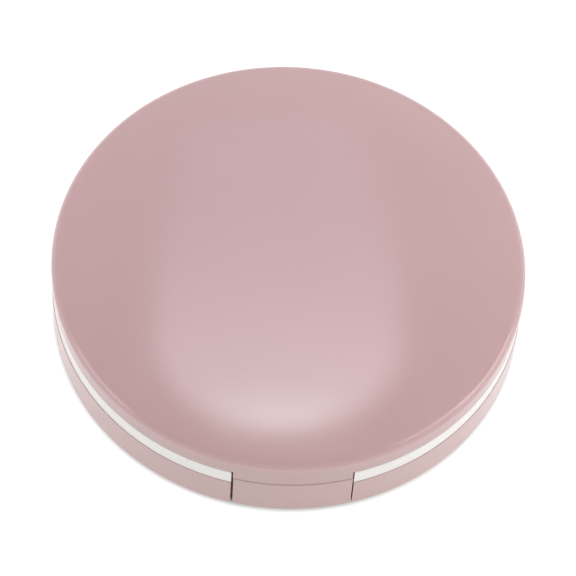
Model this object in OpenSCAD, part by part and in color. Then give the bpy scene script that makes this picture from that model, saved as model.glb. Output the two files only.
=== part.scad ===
// Round compact pill splitter: a domed lid on a rear hinge carries a guarded blade,
// which closes into a soft V-shaped cradle in a white tray held in the base.
// Millimetres. +Z up, the hinge at +Y, the release button at -Y, the feet on z = 0.

/* [Case] */
// Outer diameter of the case
case_d = 80; // [76:1:88]
// Height of the base wall's top edge
base_top = 7.6; // [7.5:0.1:7.8]
// Height of the white band's top edge
band_top = 11.15; // [11:0.05:11.4]
// Gap between the white band and the lid's rim
rim_gap = 0.2; // [0.1:0.05:0.3]
// Height of the lid's vertical wall top, where the shoulder begins
shoulder_z = 13.95; // [13.9:0.05:14.4]
// Height of the dome's crown
crown_z = 23; // [22.8:0.1:25]
// Radius of the lid's shoulder
shoulder_r = 2; // [1.4:0.1:2.4]
// Wall thickness of the lid
lid_wall = 1.8; // [1.6:0.1:2]
// Wall thickness of the base
base_wall = 1.6; // [1.4:0.1:1.8]

/* [Release button] */
// Half width of the button and of the lid's tongue
button_half = 9.8; // [9:0.1:11]
// Height of the seam between the tongue and the button
tongue_z = 9.35; // [9.2:0.05:9.4]
// Gap on each side of the button
button_gap = 0.28; // [0.2:0.02:0.4]
// Sideways play of the button in its opening
button_play = 0.08; // [0:0.02:0.1]
// Travel of the button
button_travel = 1.5; // [1.2:0.1:1.5]

/* [Hinge] */
// Distance of the hinge axis behind the centre
hinge_y = 38; // [37.6:0.1:38.2]
// Radius of the hinge knuckles
knuckle_r = 2; // [1.8:0.1:2]
// Radius of the hinge pin
pin_r = 0.75; // [0.6:0.05:0.8]

/* [Blade] */
// Length of the cutting edge
blade_len = 24; // [20:1:24]
// Thickness of the blade
blade_t = 0.4; // [0.3:0.1:0.4]
// Height of the cutting edge with the lid closed
edge_z = 5.2; // [5:0.1:5.3]
// Travel of the blade guard
guard_travel = 5.2; // [5:0.1:5.2]

/* [Tray] */
// Height of the tray's deck
deck_z = 10.5; // [10.4:0.1:10.6]
// Height of the floor of the storage wells
well_floor = 3.2; // [3:0.1:4]
// Outer radius of the storage wells
well_r = 31.2; // [29:0.1:31.2]
// Height of the floor that the pill rests on
pill_floor = 5.6; // [5.6:0.1:6]

/* [Hidden] */
$fn = 96;
R = case_d / 2;
foot_h = 0.4;
skin = 1.2;
corner_r = 0.5;
lid_rim = band_top + rim_gap;
hinge_z = band_top;

// The dome is a sphere that runs tangent into the shoulder.
dome_rise = crown_z - shoulder_z;
dome_r = ((R - shoulder_r) * (R - shoulder_r) + dome_rise * dome_rise - shoulder_r * shoulder_r)
       / (2 * (dome_rise - shoulder_r));
dome_c = crown_z - dome_r;
dome_tilt = asin((R - shoulder_r) / (dome_r - shoulder_r));
inner_r = R - lid_wall;
function dome_inner_z(r) = dome_c + sqrt((dome_r - lid_wall) * (dome_r - lid_wall) - r * r);

base_floor = foot_h + 1.4;
base_in = R - base_wall;
band_r = R - 0.1;
rim_in = R - 3.2;
skirt_r = base_in - 0.15;
skirt_z = base_top - 2.2;

// Front chamber that the button slides in: it reaches further back below the band.
chamber_half = button_half + 2.8;
chamber_y = -R + 6.4;
chamber_back = chamber_y + 2.2;
chamber_top = base_top - 0.1;
wing_half = button_half + 2.3;
notch_half = button_half + 0.25;
seam_gap = 0.2;
stem_y = chamber_y - button_travel - 0.1;

// Rear notch that the hinge sits in.
rear_half = 13.4;
rear_y = hinge_y - 2.4;
rear_floor = base_top - 0.2;
lid_knuckle = 4.9;
tray_knuckle = [5.1, 9.5];
barrel_half = 9.8;
swing_r = knuckle_r + 0.25;
pin_half = 9.3;

// Cutter stack, from the liner up.
liner_z = lid_rim + 0.2;
liner_t = 1;
liner_top = liner_z + liner_t;
liner_r = inner_r - 0.15;
blade_top = edge_z + 11;
ear_half = blade_len / 2 + 4.8;
ear_z = edge_z + 7.8;
guard_half = blade_len / 2 + 1.4;
guard_in = 0.7;
guard_out = 1.9;
guard_slot = guard_out + 0.2;
guard_z = edge_z + guard_travel - 0.4;
guard_wing_z = liner_top + guard_travel + 0.05;
guard_wing_t = 0.8;
post_y = [guard_half + 0.5, guard_half + 4.3];
post_half = 4.2;
post_top = liner_top + 5;
blade_screw_y = blade_len / 2 + 3.4;
blade_screw_z = edge_z + 9.4;
blade_screw_r = 0.8;
guard_spring_x = 4.05;

// Storage wells beside and behind the cutter, and the shallow dish in front of it.
cell_r = 2;
side_cell = 19.2;
side_cell_x = 19.4;
bar_half = 0.6;
rear_cell = 11.2;
rear_cell_y = 16.4;
dish_half = 7.4;
dish_y = 18.4;
dish_floor = deck_z - 1.8;

// Cradle and its recess.
recess = [[-17, -16], [17, 14]];
cradle_gap = 0.2;
cradle_top = 9.8;
recess_floor = 4;
pocket_half = 14;
apex_y = 9;

// Silicone seal.
seal_r = 32.6;
seal_w = 1.4;

// Fasteners and feet.
screw_r = 1.1;
head_r = 2;
head_t = 0.6;
boss_r = 2.75;
case_screw_at = [[-11, -25], [11, -25], [15, 24.5], [-15, 24.5]];
liner_screw_at = [[-19, -19], [19, -19], [19, 19], [-19, 19]];
foot_r = 4;
foot_at = [for (a = [30, 150, 210, 330]) [31 * cos(a), 31 * sin(a)]];

// Button springs.
spring_wire = 0.3;
spring_r = 1.5;
button_spring_x = 7;
button_spring_z = 4.6;
spring_seat_y = -R + 4;

// Points along an arc in a profile, from angle a0 to a1 measured from the radial axis.
function arc(c, r, a0, a1, n) =
    [for (i = [0:n]) let (a = a0 + (a1 - a0) * i / n) [c[0] + r * cos(a), c[1] + r * sin(a)]];

// A flat ring or disc between two heights.
module ring(r_out, r_in, z0, z1) {
    translate([0, 0, z0]) difference() {
        cylinder(r = r_out, h = z1 - z0);
        if (r_in > 0) translate([0, 0, -1]) cylinder(r = r_in, h = z1 - z0 + 2);
    }
}

// A box from one corner to the other.
module block(a, b) {
    translate(a) cube(b - a);
}

// A cylinder along X, centred at x.
module rod_x(r, x, length) {
    translate([x - length / 2, 0, 0]) rotate([0, 90, 0]) cylinder(r = r, h = length);
}

// A round coil of wire along +Z, made as a swept tube.
module coil(r, wire, length, turns) {
    steps = 18;
    sides = 6;
    n = turns * steps;
    rise = length - wire;
    path_r = r - wire / 2;
    points = [
        for (i = [0:n], j = [0:sides - 1])
        let (a = 360 * i / steps, b = 360 * j / sides, q = path_r + wire / 2 * cos(b))
        [q * cos(a), q * sin(a), wire / 2 + rise * i / n + wire / 2 * sin(b)]
    ];
    sleeve = [
        for (i = [0:n - 1], j = [0:sides - 1], half = [0, 1])
        let (k = (j + 1) % sides, p = i * sides, q = p + sides)
        half == 0 ? [p + j, q + j, q + k] : [p + j, q + k, p + k]
    ];
    near = [for (j = [1:sides - 2]) [0, j, j + 1]];
    far = [for (j = [1:sides - 2]) [n * sides, n * sides + j + 1, n * sides + j]];
    polyhedron(points = points, faces = concat(sleeve, near, far));
}

// A countersunk screw along +Z from its head at z = 0.
module countersunk_screw(length) {
    difference() {
        union() {
            cylinder(r = head_r, h = head_t * 0.4);
            translate([0, 0, head_t * 0.4]) cylinder(r1 = head_r, r2 = screw_r - 0.05, h = head_t * 0.6);
            cylinder(r = screw_r - 0.05, h = length);
        }
        for (a = [0, 90]) rotate([0, 0, a]) block([-1.2, -0.25, -1], [1.2, 0.25, 0.35]);
    }
}

// The hole and seat that the screw sits in, cut from below.
module screw_seat(depth) {
    translate([0, 0, -0.5]) cylinder(r = head_r + 0.1, h = 0.5 + head_t);
    cylinder(r = screw_r, h = depth);
}

// Half of a round section: the part of a circle between the axis and a ray from its centre.
module sector(r, z, tilt) {
    intersection() {
        translate([0, z]) circle(r = r, $fn = 720);
        polygon([[0, z], [0, z + 2 * r], [2 * r * sin(tilt), z + 2 * r * cos(tilt)]]);
    }
}

// The outside of the lid as a solid of revolution.
module lid_outline() {
    rotate_extrude() union() {
        intersection() {
            sector(dome_r, dome_c, dome_tilt);
            translate([0, lid_rim]) square([R, crown_z]);
        }
        polygon([
            [(lid_rim - dome_c) * tan(dome_tilt) - 0.01, lid_rim], [R - 0.2, lid_rim], [R, lid_rim + 0.2],
            [R, shoulder_z], [R - shoulder_r, shoulder_z]
        ]);
        translate([R - shoulder_r, shoulder_z]) circle(r = shoulder_r);
    }
}

// The hollow of the lid.
module lid_hollow() {
    rotate_extrude() intersection() {
        translate([0, dome_c]) circle(r = dome_r - lid_wall, $fn = 720);
        translate([0, lid_rim - 4]) square([inner_r, crown_z]);
    }
}

// The wall that hangs down at the front to meet the button, with its catch ledge.
module lid_tongue() {
    intersection() {
        union() {
            ring(R, R - 1.7, tongue_z, lid_rim + 1);
            intersection() {
                ring(R - 1, R - 2.6, tongue_z + 0.2, tongue_z + 0.9);
                block([-5, -R, 0], [5, 0, lid_rim]);
            }
        }
        block([-button_half, -R - 1, 0], [button_half, 0, lid_rim + 1]);
    }
}

module lid_shell() {
    color("rosybrown") difference() {
        union() {
            difference() {
                lid_outline();
                lid_hollow();
            }
            lid_tongue();
            intersection() {
                lid_outline();
                union() {
                    for (p = liner_screw_at) translate([p[0], p[1], liner_top]) cylinder(r = 2.4, h = 12);
                    for (s = [-1, 1]) translate([s * guard_spring_x, 0, guard_wing_z + 1.9])
                        cylinder(r = 0.95, h = 4);
                }
            }
            translate([0, hinge_y, hinge_z]) {
                rod_x(knuckle_r, 0, 2 * lid_knuckle);
                block([-lid_knuckle, -knuckle_r, 0], [lid_knuckle, 1.6, 3.2]);
            }
        }
        translate([0, hinge_y, hinge_z]) {
            rod_x(pin_r + 0.05, 0, 40);
            for (m = [0, 1]) mirror([m, 0, 0])
                block([lid_knuckle + 0.1, -swing_r, -4], [barrel_half, swing_r + 1, swing_r]);
        }
        for (p = liner_screw_at) translate([p[0], p[1], liner_top - 1]) cylinder(r = screw_r, h = 6);
    }
}

module lid_liner() {
    color("whitesmoke") difference() {
        union() {
            ring(liner_r, 0, liner_z, liner_top);
            for (s = [-1, 1]) {
                y0 = s > 0 ? post_y[0] : -post_y[1];
                block([-post_half, y0, liner_top - 0.1], [-blade_t / 2 - 0.02, y0 + 3.8, post_top]);
            }
        }
        block([-guard_slot, -guard_half - 0.2, liner_z - 1], [guard_slot, guard_half + 0.2, liner_top + 1]);
        ring(seal_r + seal_w / 2, seal_r - seal_w / 2, liner_z - 1, liner_z + 0.5);
        for (p = liner_screw_at) translate([p[0], p[1], liner_z]) screw_seat(4);
        for (s = [-1, 1]) translate([0, s * blade_screw_y, blade_screw_z]) rod_x(blade_screw_r + 0.02, 0, 12);
        block([-barrel_half - 0.1, rear_y - 0.1, liner_z - 1], [barrel_half + 0.1, R, liner_top + 1]);
    }
}

module lid_seal() {
    color("gainsboro") rotate_extrude() polygon(concat(
        [[seal_r - seal_w / 2 + 0.05, liner_z + 0.45], [seal_r - seal_w / 2 + 0.05, deck_z + 0.6]],
        arc([seal_r, deck_z + 0.65], 0.55, 180, 360, 6),
        [[seal_r + seal_w / 2 - 0.05, deck_z + 0.6], [seal_r + seal_w / 2 - 0.05, liner_z + 0.45]]
    ));
}

// A single ground blade with two drilled ears.
module blade() {
    half_t = blade_t / 2;
    color("silver") difference() {
        union() {
            translate([0, blade_len / 2, 0]) rotate([90, 0, 0]) linear_extrude(blade_len) polygon([
                [0, edge_z], [half_t, edge_z + 1.4], [half_t, blade_top],
                [-half_t, blade_top], [-half_t, edge_z + 1.4]
            ]);
            block([-half_t, -ear_half, ear_z], [half_t, ear_half, blade_top]);
        }
        for (s = [-1, 1]) translate([0, s * blade_screw_y, blade_screw_z]) rod_x(blade_screw_r + 0.02, 0, 4);
    }
}

// Two clear cheeks either side of the blade, joined below its ears, with wings that stop on the liner.
module blade_guard() {
    top = guard_wing_z + guard_wing_t;
    color("lightcyan", 0.5) union() {
        for (s = [-1, 1]) {
            x0 = s > 0 ? guard_in : -guard_out;
            w0 = s > 0 ? guard_out - 0.1 : -guard_spring_x - 2.1;
            block([x0, -guard_half, guard_z], [x0 + guard_out - guard_in, guard_half, top]);
            block([w0, -3, guard_wing_z], [w0 + guard_spring_x + 2.2 - guard_out, 3, top]);
            y0 = s > 0 ? guard_half - 0.9 : -guard_half;
            block([-guard_out, y0, guard_z], [guard_out, y0 + 0.9, ear_z - 0.6]);
        }
    }
}

// The block that traps one ear of the blade against the liner's post.
module blade_clamp(s) {
    y0 = s > 0 ? post_y[0] : -post_y[1];
    color("whitesmoke") difference() {
        block([blade_t / 2 + 0.02, y0, liner_top], [post_half, y0 + 3.8, post_top]);
        translate([0, s * blade_screw_y, blade_screw_z]) rod_x(blade_screw_r + 0.02, 0, 12);
    }
}

module blade_screw(s) {
    color("silver") translate([0, s * blade_screw_y, blade_screw_z]) difference() {
        union() {
            rod_x(blade_screw_r, 0.4, 2 * post_half - 0.8);
            rod_x(1.5, post_half + 0.45, 0.9);
        }
        translate([post_half + 0.75, 0, 0]) cube([0.6, 0.5, 4], center = true);
    }
}

module guard_spring(s) {
    z0 = guard_wing_z + guard_wing_t;
    color("gray") translate([s * guard_spring_x, 0, z0])
        coil(spring_r, spring_wire, dome_inner_z(guard_spring_x + spring_r) - z0 - 0.05, 4);
}

// A rounded rectangle between two corners, grown outwards.
module rounded_plan(a, b, grow) {
    translate([a[0] - grow, a[1] + cell_r]) square([b[0] - a[0] + 2 * grow, b[1] - a[1] - 2 * cell_r]);
    translate([a[0] + cell_r, a[1] - grow]) square([b[0] - a[0] - 2 * cell_r, b[1] - a[1] + 2 * grow]);
    for (x = [a[0] + cell_r, b[0] - cell_r], y = [a[1] + cell_r, b[1] - cell_r])
        translate([x, y]) circle(r = cell_r + grow);
}

// A plan between x0 and x1, from y0 to the wells' outer circle, with rounded corners, grown outwards.
module cell_plan(x0, x1, y0, grow) {
    xa = x0 + cell_r;
    xb = x1 - cell_r;
    y = y0 + cell_r;
    ya = sqrt((well_r - cell_r) * (well_r - cell_r) - xa * xa);
    yb = sqrt((well_r - cell_r) * (well_r - cell_r) - xb * xb);
    polygon([[xa, y0 - grow], [xb, y0 - grow], [xb, yb], [xa, ya]]);
    polygon([[x0 - grow, y], [x1 + grow, y], [x1 + grow, yb], [xb, yb], [xa, ya], [x0 - grow, ya]]);
    intersection() {
        circle(r = well_r + grow);
        polygon([[xa, y], [xa * 2, ya * 2], [xb * 2, yb * 2], [xb, y]]);
    }
    for (c = [[xa, y], [xb, y], [xb, yb], [xa, ya]]) translate(c) circle(r = cell_r + grow);
}

// The white moulding that carries the wells, the cradle, the band and the hinge.
module tray() {
    color("whitesmoke") difference() {
        union() {
            ring(band_r, rim_in, base_top, band_top);
            ring(skirt_r, rim_in, skirt_z, base_top);
            ring(rim_in + 0.5, 0, deck_z - skin, deck_z);
            tub_walls();
            for (p = case_screw_at) translate([p[0], p[1], base_floor + 0.1])
                cylinder(r = boss_r, h = deck_z - base_floor - 0.7);
            front_wall();
            rear_notch_floor();
        }
        wells();
        front_opening();
        rear_opening();
        for (p = case_screw_at) translate([p[0], p[1], base_floor]) cylinder(r = screw_r, h = 5.4);
    }
    color("whitesmoke") tray_knuckles();
}

// Outer walls and floors of the wells, before they are hollowed.
module tub_walls() {
    for (s = [-1, 1]) rotate([0, 0, -90 * s]) translate([0, 0, well_floor - skin])
        linear_extrude(deck_z - well_floor + skin) cell_plan(-side_cell, side_cell, side_cell_x, skin);
    translate([0, 0, well_floor - skin])
        linear_extrude(deck_z - well_floor + skin) cell_plan(-rear_cell, rear_cell, rear_cell_y, skin);
    translate([0, 0, recess_floor - skin])
        linear_extrude(deck_z - recess_floor + skin) rounded_plan(recess[0], recess[1], skin);
    rotate([0, 0, 180]) translate([0, 0, dish_floor - skin])
        linear_extrude(deck_z - dish_floor + skin) cell_plan(-dish_half, dish_half, dish_y, skin);
}

// What is hollowed out of the tray.
module wells() {
    for (s = [-1, 1], m = [0, 1]) rotate([0, 0, -90 * s]) mirror([m, 0, 0]) translate([0, 0, well_floor])
        linear_extrude(20) cell_plan(bar_half, side_cell, side_cell_x, 0);
    translate([0, 0, well_floor]) linear_extrude(20) cell_plan(-rear_cell, rear_cell, rear_cell_y, 0);
    translate([0, 0, recess_floor]) linear_extrude(20) rounded_plan(recess[0], recess[1], 0);
    rotate([0, 0, 180]) translate([0, 0, dish_floor])
        linear_extrude(20) cell_plan(-dish_half, dish_half, dish_y, 0);
}

// The stepped wall behind the button.
module front_wall() {
    half = chamber_half + 1;
    block([-half, chamber_y, chamber_top], [half, chamber_y + 1.4, deck_z]);
    block([-half, chamber_y, chamber_top], [half, chamber_back + 1.2, chamber_top + 1.2]);
    block([-half, chamber_back, base_floor + 0.1], [half, chamber_back + 1.2, chamber_top + 1.2]);
}

// Opens the front of the tray for the button, its hook and the lid's tongue.
module front_opening() {
    block([-notch_half, -R - 1, -1], [notch_half, chamber_y, 20]);
    block([-chamber_half, -R - 1, -1], [chamber_half, chamber_back, chamber_top]);
}

// Opens the rear of the tray for the hinge barrel and the swing of the lid.
module rear_opening() {
    block([-rear_half, rear_y, rear_floor], [rear_half, R + 1, 20]);
}

// The floor and wall of the rear notch.
module rear_notch_floor() {
    intersection() {
        ring(band_r, rear_y - 6, rear_floor - 1.4, rear_floor);
        block([-rear_half, 0, 0], [rear_half, R, 20]);
    }
    intersection() {
        ring(R, 0, rear_floor - 1.4, deck_z);
        block([-rear_half - 1, rear_y - 1.2, 0], [rear_half + 1, rear_y, 20]);
    }
}

module tray_knuckles() {
    width = tray_knuckle[1] - tray_knuckle[0];
    for (s = [-1, 1])
        translate([s * (tray_knuckle[0] + tray_knuckle[1]) / 2, hinge_y, hinge_z]) difference() {
            union() {
                rod_x(knuckle_r, 0, width);
                block([-width / 2, -knuckle_r, rear_floor - hinge_z - 0.2], [width / 2, 0.9, 0]);
            }
            rod_x(pin_r + 0.02, 0, width + 1);
        }
}

// Soft block with a V that centres the pill and a slot for the blade.
module pill_cradle() {
    top = cradle_top - pill_floor + 1;
    color("thistle") difference() {
        translate([0, 0, recess_floor + 0.05]) linear_extrude(cradle_top - recess_floor - 0.05)
            rounded_plan(recess[0], recess[1], -cradle_gap);
        translate([0, 0, pill_floor]) linear_extrude(top) polygon([
            [0, apex_y], [pocket_half, apex_y - pocket_half], [pocket_half, -13.4], [-pocket_half, -13.4],
            [-pocket_half, apex_y - pocket_half]
        ]);
        block([-0.5, -blade_len / 2 - 0.7, edge_z - 0.5], [0.5, blade_len / 2 + 0.6, 20]);
        block([-8, -17, pill_floor + 1.6], [8, -13, 20]);
    }
}

module base_shell() {
    color("rosybrown") difference() {
        rotate_extrude() union() {
            translate([0, foot_h]) square([R - corner_r, base_floor - foot_h]);
            translate([base_in, foot_h + corner_r]) square([base_wall, base_top - foot_h - corner_r]);
            translate([R - corner_r, foot_h + corner_r]) circle(r = corner_r);
        }
        difference() {
            block([-button_half - button_gap, -R - 1, -1], [button_half + button_gap, 0, 20]);
            translate([0, button_travel + 0.2, -2]) cylinder(r = base_in, h = 30);
        }
        block([-rear_half - 0.05, rear_y - 1, rear_floor - 1.45], [rear_half + 0.05, R + 1, 20]);
        for (p = foot_at) translate([p[0], p[1], -1]) cylinder(r = foot_r + 0.05, h = 1 + foot_h + 0.6);
        for (p = case_screw_at) translate([p[0], p[1], foot_h]) screw_seat(3);
    }
}

// The front plate of the button.
module button_plate() {
    top = tongue_z - seam_gap;
    intersection() {
        rotate_extrude() union() {
            translate([R - corner_r, foot_h + corner_r + 0.1]) circle(r = corner_r);
            translate([base_in, foot_h + 0.1]) square([base_wall - corner_r, top - foot_h - 0.1]);
            translate([base_in, foot_h + corner_r + 0.1]) square([base_wall, top - foot_h - corner_r - 0.1]);
        }
        block([-button_half, -R - 1, 0], [button_half, 0, 20]);
    }
}

// Button, guide wings, spring seats and latch hook, moulded as one.
module release_button() {
    z0 = base_floor + 0.15;
    z1 = chamber_top - 0.2;
    color("rosybrown") translate([button_play, 0, 0]) union() {
        button_plate();
        intersection() {
            ring(base_in - 0.1, base_in - 1.3, z0, z1);
            block([-wing_half, -R, 0], [wing_half, 0, 20]);
        }
        intersection() {
            ring(base_in + 0.1, base_in - 0.5, z0, z1);
            block([-button_half, -R, 0], [button_half, 0, 20]);
        }
        for (s = [-1, 1]) translate([s * button_spring_x, spring_seat_y, button_spring_z])
            rotate([90, 0, 0]) cylinder(r = spring_r + 0.4, h = 1.5);
        latch_hook();
    }
}

// The hook that stands behind the tongue and bears down on its ledge.
module latch_hook() {
    foot = base_floor + 0.15;
    nose = tongue_z + 1;
    tip = -R + 2.15;
    translate([4.5, 0, 0]) rotate([0, -90, 0]) linear_extrude(9) polygon([
        [foot, -base_in + 0.2], [foot + 1.1, -base_in + 0.2], [foot + 1.1, stem_y - 1], [nose, stem_y - 1],
        [nose, tip], [nose + 0.3, tip], [nose + 0.85, stem_y - 0.9], [nose + 0.85, stem_y], [foot, stem_y]
    ]);
}

module button_spring(s) {
    y0 = spring_seat_y + 0.02;
    y1 = chamber_back - 0.05;
    color("gray") translate([s * button_spring_x + button_play, y0, button_spring_z])
        rotate([-90, 0, 0]) coil(spring_r, spring_wire, y1 - y0, 4);
}

module hinge_pin() {
    color("silver") translate([0, hinge_y, hinge_z]) rod_x(pin_r, 0, 2 * pin_half);
}

module case_screw(i) {
    color("silver") translate([case_screw_at[i][0], case_screw_at[i][1], foot_h]) countersunk_screw(5.6);
}

module liner_screw(i) {
    color("silver") translate([liner_screw_at[i][0], liner_screw_at[i][1], liner_z]) countersunk_screw(4.6);
}

module foot(i) {
    color("lightgray") translate([foot_at[i][0], foot_at[i][1], 0]) union() {
        cylinder(r1 = foot_r - 0.3, r2 = foot_r, h = 0.3);
        translate([0, 0, 0.3]) cylinder(r = foot_r, h = 0.65);
    }
}

lid_shell();
lid_liner();
lid_seal();
blade();
blade_guard();
blade_clamp(-1);  // blade_clamp_front
blade_clamp(1);  // blade_clamp_rear
blade_screw(-1);  // blade_screw_front
blade_screw(1);  // blade_screw_rear
guard_spring(-1);  // guard_spring_left
guard_spring(1);  // guard_spring_right
tray();
pill_cradle();
base_shell();
release_button();
button_spring(-1);  // button_spring_left
button_spring(1);  // button_spring_right
hinge_pin();
for (i = [0:3]) liner_screw(i);
for (i = [0:3]) case_screw(i);
for (i = [0:3]) foot(i);
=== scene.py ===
import math
from functools import partial

import bmesh
import bpy
from mathutils import Matrix, Vector


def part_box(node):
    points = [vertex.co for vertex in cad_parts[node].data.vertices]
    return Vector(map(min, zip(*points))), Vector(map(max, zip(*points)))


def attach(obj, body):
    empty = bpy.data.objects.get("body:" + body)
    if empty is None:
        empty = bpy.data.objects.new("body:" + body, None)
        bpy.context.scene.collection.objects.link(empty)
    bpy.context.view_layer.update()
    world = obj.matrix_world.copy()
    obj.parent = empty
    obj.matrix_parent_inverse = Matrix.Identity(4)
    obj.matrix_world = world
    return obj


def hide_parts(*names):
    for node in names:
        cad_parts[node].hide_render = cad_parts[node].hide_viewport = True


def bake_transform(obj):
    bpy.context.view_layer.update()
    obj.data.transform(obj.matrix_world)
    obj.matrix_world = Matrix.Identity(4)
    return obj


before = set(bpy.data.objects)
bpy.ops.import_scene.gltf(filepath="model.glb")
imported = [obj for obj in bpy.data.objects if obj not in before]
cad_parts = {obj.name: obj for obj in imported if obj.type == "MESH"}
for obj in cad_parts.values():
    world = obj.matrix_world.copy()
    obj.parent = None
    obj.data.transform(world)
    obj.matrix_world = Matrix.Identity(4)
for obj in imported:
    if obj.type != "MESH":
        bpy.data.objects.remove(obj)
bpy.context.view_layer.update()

# Sizes are in millimetres while a piece is being made, and become metres when it is finished.
MM = 0.001
# Segments in a full turn of the case, and of a rod.
STEPS = 288
ROUND = 64


def cad_box(node):
    """Lowest and highest corner of a CAD node, in millimetres."""
    low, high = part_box(node)
    return low / MM, high / MM


# ---------------------------------------------------------------- sizes

# Read from the CAD nodes.
LID_HIGH = cad_box("lid_shell")[1]
BASE_LOW, BASE_HIGH = cad_box("base_shell")
LINER_LOW, LINER_HIGH = cad_box("lid_liner")
BLADE_HIGH = cad_box("blade")[1]
PIN_LOW, PIN_HIGH = cad_box("hinge_pin")

# The same measures as in the part's source.
CASE_R = LID_HIGH.x
CROWN_Z = LID_HIGH.z
HINGE_Y = (PIN_LOW.y + PIN_HIGH.y) / 2
HINGE_Z = (PIN_LOW.z + PIN_HIGH.z) / 2
BAND_TOP = HINGE_Z
RIM_Z = BAND_TOP + 0.2
BASE_TOP = BASE_HIGH.z
BASE_BOTTOM = BASE_LOW.z
BASE_FLOOR = BASE_BOTTOM + 1.4
SHOULDER_Z = 13.95
SHOULDER_R = 2.0
LID_WALL = 1.8
LID_WALL_Z = 12.6
LEDGE_HALF = 5
TONGUE_Z = 9.35
TONGUE_HALF = 9.8
BASE_WALL = 1.6
BAND_R = CASE_R - 0.1
RIM_IN = CASE_R - 3.2
SKIRT_R = CASE_R - 1.75
SKIRT_Z = BASE_TOP - 2.2
DECK_Z = 10.5
SKIN = 1.2
WELL_FLOOR = 3.2
WELL_R = 31.2
WELL_FOOT = 0.9
CELL_R = 2.0
RECESS = ((-17.0, -16.0), (17.0, 14.0))
RECESS_FLOOR = 4.0
DISH_FLOOR = DECK_Z - 1.8
NOTCH_HALF = 10.05
CHAMBER_HALF = 12.6
CHAMBER_Y = -CASE_R + 6.4
CHAMBER_BACK = CHAMBER_Y + 2.2
CHAMBER_TOP = BASE_TOP - 0.1
REAR_HALF = 13.4
REAR_Y = HINGE_Y - 2.4
REAR_FLOOR = BASE_TOP - 0.2
REAR_SKIN = 1.4
KNUCKLE_R = 2.0
LID_KNUCKLE = 4.9
TRAY_KNUCKLE = (5.1, 9.5)
BARREL_HALF = 9.8
SWING_R = KNUCKLE_R + 0.25
PIN_R = 0.75
WEB_RISE = 3.2
BUTTON_GAP = 0.28
BUTTON_TRAVEL = 1.5
BUTTON_SHIFT = 0.08
FLANGE_HALF = 10.04
WINGS_HALF = 12.1
BRIDGE_HALF = 9.6
BOSS_X, BOSS_Z, BOSS_R = 7, 4.6, 1.9
HOOK_HALF = 4.5
CASE_SCREWS = ((-11, -25), (11, -25), (15, 24.5), (-15, 24.5))
LINER_SCREWS = ((-19, -19), (19, -19), (19, 19), (-19, 19))
SCREW_HEAD_R = 2.1
SCREW_HOLE_R = 1.1
SCREW_POST_R = 2.75
FOOT_SEAT_R = 4.05
SEAT_DEPTH = 0.6
DISC_R, DISC_DEPTH = 23.4, 0.15
BAND_CHAMFER = 0.35
SEAL_IN, SEAL_OUT = 31.9, 33.3
GROOVE_DEPTH = 0.2
RING_RISE = 0.28
BLADE_HALF = BLADE_HIGH.y
GUARD_HALF = BLADE_HALF - 3.4
GUARD_SLOT = 2.1
POST_HALF = 4.2
RIB_START, RIB_PITCH, RIB_HALF = -11.2, 1.7, 0.28
SPRING_WIRE = 0.3
FEET_R = 31
FEET = tuple((FEET_R * math.cos(math.radians(a)), FEET_R * math.sin(math.radians(a)))
             for a in (30, 150, 210, 330))

# Cutting tools reach this far past the case, sideways and upwards.
FAR = CASE_R + 5
ABOVE = 20
# Degrees between two faces: above SHARP their edge is rounded, and below SMOOTH it is shaded smooth.
SHARP = 32
SMOOTH = 40


# ---------------------------------------------------------------- mesh helpers

def link(name, bm):
    """A new object from a bmesh, which is freed."""
    bmesh.ops.recalc_face_normals(bm, faces=bm.faces)
    mesh = bpy.data.meshes.new(name)
    bm.to_mesh(mesh)
    bm.free()
    obj = bpy.data.objects.new(name, mesh)
    bpy.context.scene.collection.objects.link(obj)
    return obj


def arc(cx, cy, r, start, end, count):
    """Points along an arc, angles in degrees."""
    return [(cx + r * math.cos(math.radians(start + (end - start) * i / count)),
             cy + r * math.sin(math.radians(start + (end - start) * i / count))) for i in range(count + 1)]


def revolve(name, profile):
    """A closed solid of revolution about Z from a loop of (radius, height) points."""
    bm = bmesh.new()
    rings = []
    for r, z in profile:
        if r < 1e-6:
            rings.append([bm.verts.new((0, 0, z))])
        else:
            turns = [2 * math.pi * i / STEPS for i in range(STEPS)]
            rings.append([bm.verts.new((r * math.cos(a), r * math.sin(a), z)) for a in turns])
    for a, b in zip(rings, rings[1:] + rings[:1]):
        if len(a) == 1 and len(b) == 1:
            continue
        for i in range(STEPS):
            j = (i + 1) % STEPS
            if len(a) == 1:
                bm.faces.new((a[0], b[i], b[j]))
            elif len(b) == 1:
                bm.faces.new((a[i], b[0], a[j]))
            else:
                bm.faces.new((a[i], b[i], b[j], a[j]))
    return link(name, bm)


def prism(name, outline, z0, z1, foot=0.0):
    """An upright solid over an outline. foot rounds its bottom edge by that radius."""
    bm = bmesh.new()
    low = [bm.verts.new((x, y, z0)) for x, y in outline]
    high = [bm.verts.new((x, y, z1)) for x, y in outline]
    bottom = bm.faces.new(low[::-1])
    bm.faces.new(high)
    for i in range(len(outline)):
        j = (i + 1) % len(outline)
        bm.faces.new((low[i], low[j], high[j], high[i]))
    if foot > 0:
        bmesh.ops.bevel(bm, geom=list(bottom.edges), offset=foot, segments=4, profile=0.5, affect="EDGES")
    return link(name, bm)


def box(name, low, high):
    """A box between two corners."""
    (x0, y0, z0), (x1, y1, z1) = low, high
    return prism(name, ((x0, y0), (x1, y0), (x1, y1), (x0, y1)), z0, z1)


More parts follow.
